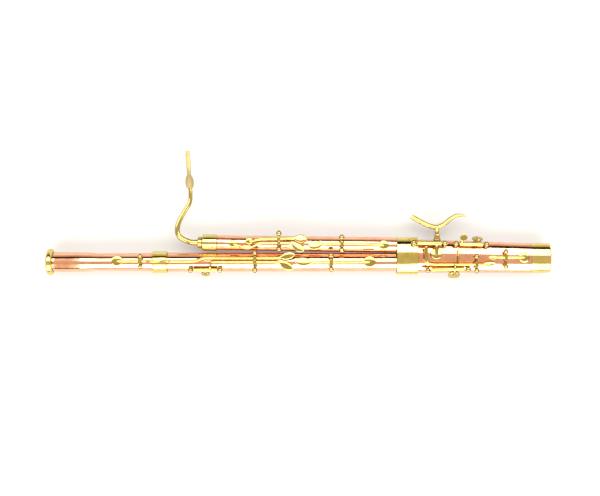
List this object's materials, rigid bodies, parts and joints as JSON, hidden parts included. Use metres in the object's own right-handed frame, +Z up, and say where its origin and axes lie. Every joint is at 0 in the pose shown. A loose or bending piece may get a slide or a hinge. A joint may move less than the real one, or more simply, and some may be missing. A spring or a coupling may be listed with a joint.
{
  "type": "bassoon",
  "caption": "Long double-tube woodwind instrument with a curved metal mouthpipe, double reed, lever keywork on ball posts, hand rest and ringed bell.",
  "frame": {"origin": "under the middle of the bounding box, on the surface the instrument lies on", "axes": "+X from the bell towards the boot cap, +Y towards the bocal and hand rest, +Z up: the thumb side faces up"},
  "size_m": [1.34, 0.3411, 0.0781],
  "materials": {
    "boot_body": "polished copper",
    "bass_tube": "polished copper",
    "bell_tube": "polished copper",
    "wing_tube": "polished copper",
    "boot_ferrule": "polished brass",
    "boot_cap": "polished brass",
    "bell_ferrule": "polished brass",
    "bell_ring": "polished brass",
    "wing_ferrule": "polished brass",
    "bocal_tube": "polished brass",
    "hand_rest": "polished brass",
    "hand_rest_socket": "polished brass",
    "hand_rest_screw": "polished brass",
    "u_tube": "polished brass",
    "wing_under_posts": "polished brass",
    "boot_under_posts": "polished brass",
    "wing_key_1": "polished brass",
    "wing_key_2": "polished brass",
    "wing_key_3": "polished brass",
    "low_b_flat_lever": "polished brass",
    "low_b_lever": "polished brass",
    "bell_key": "polished brass",
    "low_b_key": "polished brass",
    "low_c_key": "polished brass",
    "pancake_key": "polished brass",
    "cross_lever": "polished brass",
    "side_e_key": "polished brass",
    "thumb_b_flat_key": "polished brass",
    "f_sharp_key": "polished brass",
    "wing_pivot_a": "polished brass",
    "wing_pivot_b": "polished brass",
    "bass_pivot_a": "polished brass",
    "bass_pivot_b": "polished brass",
    "low_b_pivot": "polished brass",
    "bell_pivot": "polished brass",
    "pancake_pivot": "polished brass",
    "cross_lever_pivot": "polished brass",
    "side_e_pivot": "polished brass",
    "thumb_b_flat_pivot": "polished brass",
    "f_sharp_pivot": "polished brass",
    "bocal_receiver": "darker polished brass",
    "wing_pad_1": "soft leather pad",
    "wing_pad_2": "soft leather pad",
    "wing_pad_3": "soft leather pad",
    "bell_pad": "soft leather pad",
    "low_b_pad": "soft leather pad",
    "low_c_pad": "soft leather pad",
    "pancake_pad": "soft leather pad",
    "side_e_pad": "soft leather pad",
    "thumb_b_flat_pad": "soft leather pad",
    "f_sharp_pad": "soft leather pad",
    "bocal_cork": "cork, stood in for by leather",
    "u_tube_gasket": "cork, stood in for by leather",
    "bass_upper_wrap": "waxed thread winding",
    "bass_lower_wrap": "waxed thread winding",
    "wing_wrap": "waxed thread winding",
    "reed_binding": "waxed thread winding",
    "reed_blade_upper": "cane",
    "reed_blade_lower": "cane"
  },
  "bodies": {
    "boot": {"boot_body": "boot_body", "boot_ferrule": "boot_ferrule", "u_tube": "u_tube", "u_tube_gasket": "u_tube_gasket", "hand_rest_socket": "hand_rest_socket", "pancake_pivot": "pancake_pivot", "cross_lever_pivot": "cross_lever_pivot", "side_e_pivot": "side_e_pivot", "thumb_b_flat_pivot": "thumb_b_flat_pivot", "f_sharp_pivot": "f_sharp_pivot", "boot_under_posts": "boot_under_posts"},
    "cap": {"boot_cap": "boot_cap"},
    "hand_rest": {"hand_rest": "hand_rest"},
    "thumb_screw": {"hand_rest_screw": "hand_rest_screw"},
    "bass_joint": {"bass_tube": "bass_tube", "bass_upper_wrap": "bass_upper_wrap", "bass_lower_wrap": "bass_lower_wrap", "bass_pivot_a": "bass_pivot_a", "bass_pivot_b": "bass_pivot_b", "low_b_pivot": "low_b_pivot"},
    "bell": {"bell_tube": "bell_tube", "bell_ring": "bell_ring", "bell_ferrule": "bell_ferrule", "bell_pivot": "bell_pivot"},
    "wing_joint": {"wing_tube": "wing_tube", "wing_ferrule": "wing_ferrule", "bocal_receiver": "bocal_receiver", "wing_wrap": "wing_wrap", "wing_pivot_a": "wing_pivot_a", "wing_pivot_b": "wing_pivot_b", "wing_under_posts": "wing_under_posts"},
    "bocal": {"bocal_tube": "bocal_tube", "bocal_cork": "bocal_cork"},
    "reed": {"reed_binding": "reed_binding", "reed_blade_upper": "reed_blade_upper", "reed_blade_lower": "reed_blade_lower"},
    "wing_key_1": {"wing_key_1": "wing_key_1", "wing_pad_1": "wing_pad_1"},
    "wing_key_2": {"wing_key_2": "wing_key_2", "wing_pad_2": "wing_pad_2"},
    "wing_key_3": {"wing_key_3": "wing_key_3", "wing_pad_3": "wing_pad_3"},
    "low_b_flat_lever": {"low_b_flat_lever": "low_b_flat_lever"},
    "low_b_lever": {"low_b_lever": "low_b_lever"},
    "bell_key": {"bell_key": "bell_key", "bell_pad": "bell_pad"},
    "low_b_key": {"low_b_key": "low_b_key", "low_b_pad": "low_b_pad"},
    "low_c_key": {"low_c_key": "low_c_key", "low_c_pad": "low_c_pad"},
    "pancake_key": {"pancake_key": "pancake_key", "pancake_pad": "pancake_pad"},
    "cross_lever": {"cross_lever": "cross_lever"},
    "side_e_key": {"side_e_key": "side_e_key", "side_e_pad": "side_e_pad"},
    "thumb_b_flat_key": {"thumb_b_flat_key": "thumb_b_flat_key", "thumb_b_flat_pad": "thumb_b_flat_pad"},
    "f_sharp_key": {"f_sharp_key": "f_sharp_key", "f_sharp_pad": "f_sharp_pad"}
  },
  "joints": [
    {"name": "cap_pull", "type": "slide", "parent": "boot", "child": "cap", "axis": [1, 0, 0], "range_m": [0, 0.055]},
    {"name": "bass_joint_pull", "type": "slide", "parent": "boot", "child": "bass_joint", "axis": [-1, 0, 0], "range_m": [0, 0.034]},
    {"name": "wing_joint_pull", "type": "slide", "parent": "boot", "child": "wing_joint", "axis": [-0.9999, 0.0134, 0], "range_m": [0, 0.034]},
    {"name": "bell_pull", "type": "slide", "parent": "bass_joint", "child": "bell", "axis": [-1, 0, 0], "range_m": [0, 0.034]},
    {"name": "hand_rest_swivel", "type": "hinge", "parent": "boot", "child": "hand_rest", "pos_m": [0.3686, -0.06, 0.036], "axis": [0, 1, 0], "range_deg": [-35, 35]},
    {"name": "thumb_screw_turn", "type": "hinge", "parent": "boot", "child": "thumb_screw", "pos_m": [0.3686, -0.0596, 0.044], "axis": [0, 0, 1], "range_deg": [0, 180]},
    {"name": "bocal_swivel", "type": "hinge", "parent": "wing_joint", "child": "bocal", "pos_m": [-0.2685, -0.07571, 0.036], "axis": [0.9999, -0.0134, 0], "range_deg": [-8, 90]},
    {"name": "reed_pull", "type": "slide", "parent": "bocal", "child": "reed", "axis": [-0.0967, 0.9953, 0], "range_m": [0, 0.012]},
    {"name": "wing_key_1_press", "type": "hinge", "parent": "wing_joint", "child": "wing_key_1", "pos_m": [-0.052, -0.0656, 0.066], "axis": [0, 1, 0], "range_deg": [0, 3.4], "stiffness_Nm_per_rad": 0.4, "springref_deg": -17.19},
    {"name": "wing_key_2_press", "type": "hinge", "parent": "wing_joint", "child": "wing_key_2", "pos_m": [-0.052, -0.0769, 0.066], "axis": [0, 1, 0], "range_deg": [0, 3], "stiffness_Nm_per_rad": 0.4, "springref_deg": -17.19},
    {"name": "wing_key_3_press", "type": "hinge", "parent": "wing_joint", "child": "wing_key_3", "pos_m": [0.114, -0.0797, 0.066], "axis": [0, -1, 0], "range_deg": [0, 3], "stiffness_Nm_per_rad": 0.5, "springref_deg": -17.19},
    {"name": "low_b_flat_lever_press", "type": "hinge", "parent": "bass_joint", "child": "low_b_flat_lever", "pos_m": [-0.1155, -0.1174, 0.071], "axis": [0, 1, 0], "range_deg": [0, 1.4], "stiffness_Nm_per_rad": 0.8, "springref_deg": -17.19},
    {"name": "low_b_lever_press", "type": "hinge", "parent": "bass_joint", "child": "low_b_lever", "pos_m": [-0.1155, -0.1274, 0.071], "axis": [0, 1, 0], "range_deg": [0, 1.3], "stiffness_Nm_per_rad": 0.8, "springref_deg": -17.19},
    {"name": "low_c_key_press", "type": "hinge", "parent": "bass_joint", "child": "low_c_key", "pos_m": [0.0857, -0.1282, 0.071], "axis": [0, -1, 0], "range_deg": [0, 3], "stiffness_Nm_per_rad": 0.5, "springref_deg": -17.19},
    {"name": "low_b_key_press", "type": "hinge", "parent": "bass_joint", "child": "low_b_key", "pos_m": [-0.247, -0.1484, 0.06223], "axis": [1, 0, 0], "range_deg": [0, 9], "stiffness_Nm_per_rad": 0.3, "springref_deg": -17.19},
    {"name": "bell_key_press", "type": "hinge", "parent": "bell", "child": "bell_key", "pos_m": [-0.4187, -0.1255, 0.0695], "axis": [0, -1, 0], "range_deg": [0, 6.5], "stiffness_Nm_per_rad": 0.4, "springref_deg": -22.92},
    {"name": "pancake_key_press", "type": "hinge", "parent": "boot", "child": "pancake_key", "pos_m": [0.345, -0.0778, 0.069], "axis": [0.9995, -0.0318, 0], "range_deg": [0, 8], "stiffness_Nm_per_rad": 0.3, "springref_deg": -17.19},
    {"name": "cross_lever_press", "type": "hinge", "parent": "boot", "child": "cross_lever", "pos_m": [0.47, -0.1337, 0.06835], "axis": [-0.0318, 0.9963, 0.0795], "range_deg": [0, 3], "stiffness_Nm_per_rad": 0.8, "springref_deg": -17.19},
    {"name": "side_e_key_press", "type": "hinge", "parent": "boot", "child": "side_e_key", "pos_m": [0.39485, -0.1471, 0.0644], "axis": [0.9996, 0.0281, -0.0037], "range_deg": [0, 11], "stiffness_Nm_per_rad": 0.3, "springref_deg": -17.19},
    {"name": "thumb_b_flat_key_press", "type": "hinge", "parent": "boot", "child": "thumb_b_flat_key", "pos_m": [0.4564, -0.08075, 0.0646], "axis": [-0.9997, 0.0237, 0.005], "range_deg": [0, 8.5], "stiffness_Nm_per_rad": 0.3, "springref_deg": -17.19},
    {"name": "f_sharp_key_press", "type": "hinge", "parent": "boot", "child": "f_sharp_key", "pos_m": [0.547, -0.1156, 0.06885], "axis": [0, -0.9971, -0.0757], "range_deg": [0, 4], "stiffness_Nm_per_rad": 0.4, "springref_deg": -17.19}
  ],
  "couplings": [
    {"joint": "bell_key_press", "follows": "low_b_flat_lever_press", "ratio": 4.6},
    {"joint": "low_b_key_press", "follows": "low_b_lever_press", "ratio": 6.9},
    {"joint": "side_e_key_press", "follows": "cross_lever_press", "ratio": 3.66}
  ]
}
